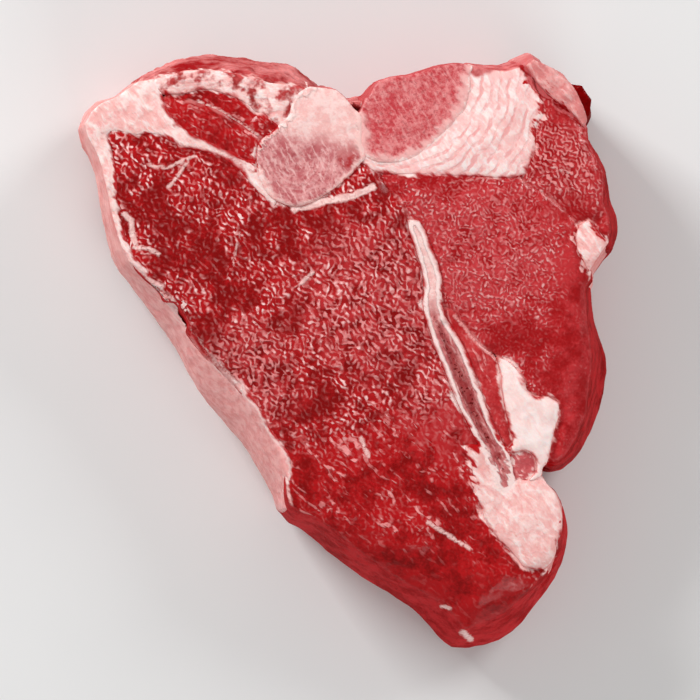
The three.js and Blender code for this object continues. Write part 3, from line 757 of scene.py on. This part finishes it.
# the sinew's bright tint is a painted highlight on its fibres' ridges, and its dark crease tint a painted
# shade in their hollows
backSinew = {**paleFat, "node": "back_sinew", "slot": "sinew", "voxel": 0.35, "pale": tint(206, 96, 96),
             "pink": tint(170, 44, 48), "bright": tint(236, 166, 162), "ringsAndCreaseShade": tint(136, 14, 20),
             "skinPale": tint(226, 134, 132), "skin": tint(156, 26, 30), "fibreTurn": -4, "fibreStretch": 4,
             "fibreSize": 1, "shine": 1, "creaseShade": 0.7, "relief": 1.6, "blend": 1,
             "lumps": [(4, 0.7), (1.4, 0.5)]}
dressFat(makeTissue(backSinew), backSinew)

# the flap's bright tint is a painted highlight on its fibres' ridges, and its crease share a painted shade in
# their hollows
fasciaFlap = {**paleFat, "node": "fascia_flap", "slot": "sinew", "voxel": 0.3,
              "pale": tint(236, 168, 164), "pink": tint(216, 126, 124), "bright": tint(246, 196, 192),
              "skinPale": tint(226, 142, 140), "skin": tint(206, 104, 104), "creaseShade": 0.2}
dressFat(makeTissue(fasciaFlap), fasciaFlap)

archBone = {**sawnBone, "node": "arch_bone", "creamBeyond": [(-8, 33), (0.1, 1), 5], "ringShare": 0.3,
            "cream": tint(252, 214, 209), "creamPink": tint(244, 186, 181), "blend": 1.6,
            "bloody": [(0, 30.8, 3)], "rimSoft": 0.8}
dressBone(makeTissue(archBone), archBone)

vertebraBody = {**sawnBone, "node": "vertebra_body", "slot": "marrow_bone", "core": tint(196, 68, 74),
                "corePale": tint(228, 136, 136), "grain": 0.8, "scratches": 0.15,
                "rimRagged": 1.6, "rimSoft": 1.4, "rimTint": tint(244, 184, 180),
                "scrapsBeyond": [(14, 44.6), (-0.12, 1), 0.8]}
dressBone(makeTissue(vertebraBody), vertebraBody)

fingerBone = {**sawnBone, "node": "finger_bone", "voxel": 0.3, "core": tint(186, 94, 96),
              "corePale": tint(218, 138, 136), "marrow": tint(140, 22, 26), "marrowShare": 0.7,
              "creamBeyond": [(12, 6), (0, 1), 3],
              "pore": tint(96, 4, 8), "pores": 0.9, "poresFrom": 1.25, "rim": 0.9, "rimRagged": 0.4,
              "rimSoft": 0.3, "rimTint": tint(255, 226, 221)}
dressBone(makeTissue(fingerBone), fingerBone)

bpy.ops.object.select_all(action="DESELECT")
# the floor is 6 m wide and lies 0.05 mm below the part; its patches are 40 mm wide
ground = {"across": 6, "below": 0.05, "patches": 40, "grey": tint(226, 226, 226), "pale": tint(232, 232, 231),
          "roughness": 0.6}
bpy.ops.mesh.primitive_plane_add(size=ground["across"], location=(0, 0, -ground["below"] * mm))
floor = bpy.context.object
floor.name = "floor"
floorFinish = Finish("pale floor")
floorPatches = floorFinish.clouds(floorFinish.place, ground["patches"])
floorTone = floorFinish.mix(floorPatches, ground["grey"], ground["pale"])
floorShader = floorFinish.node("ShaderNodeBsdfPrincipled", {}, {
    "Base Color": floorTone, "Roughness": ground["roughness"]})
floorFinish.node("ShaderNodeOutputMaterial", {}, {"Surface": floorShader})
floor.data.materials.append(floorFinish.material)

# the soft boxes' places and sizes in metres and their powers in watts; each faces the part
studio = {"left light": [(-0.5, 0.5, 0.45), 0.25, 5], "right light": [(0.5, 0.45, 0.5), 0.3, 2.05],
          "front light": [(0.3, -0.6, 0.5), 0.5, 1.8]}
skyStrength = 0.33
for name, (place, size, power) in studio.items():
    bpy.ops.object.light_add(type="AREA", location=place)
    lamp = bpy.context.object
    lamp.name = name
    lamp.data.size = size
    lamp.data.energy = power
    lamp.rotation_euler = (-Vector(place)).to_track_quat("-Z", "Y").to_euler()
world = bpy.data.worlds.new("studio")
world.use_nodes = True
background = world.node_tree.nodes["Background"]
background.inputs["Color"].default_value = (1, 1, 1, 1)
background.inputs["Strength"].default_value = skyStrength
bpy.context.scene.world = world
bpy.context.scene.view_settings.view_transform = "Standard"

# the camera looks almost straight down, from a little to the left of the chop and below it
view = {"aim": (0, 0, 14), "aside": (-56, -17), "distance": 900, "across": 112}  # mm
aim = Vector(view["aim"]) * mm
back = Vector((*view["aside"], view["distance"])).normalized()
right = Vector((0, 1, 0)).cross(back).normalized()
cameraData = bpy.data.cameras.new("camera")
cameraData.lens = cameraData.sensor_width * view["distance"] / view["across"]
camera = bpy.data.objects.new("camera", cameraData)
bpy.context.scene.collection.objects.link(camera)
turn = Matrix((right, back.cross(right), back)).transposed().to_4x4()
camera.matrix_world = Matrix.Translation(aim + back * view["distance"] * mm) @ turn
bpy.context.scene.camera = camera
print("stage set")
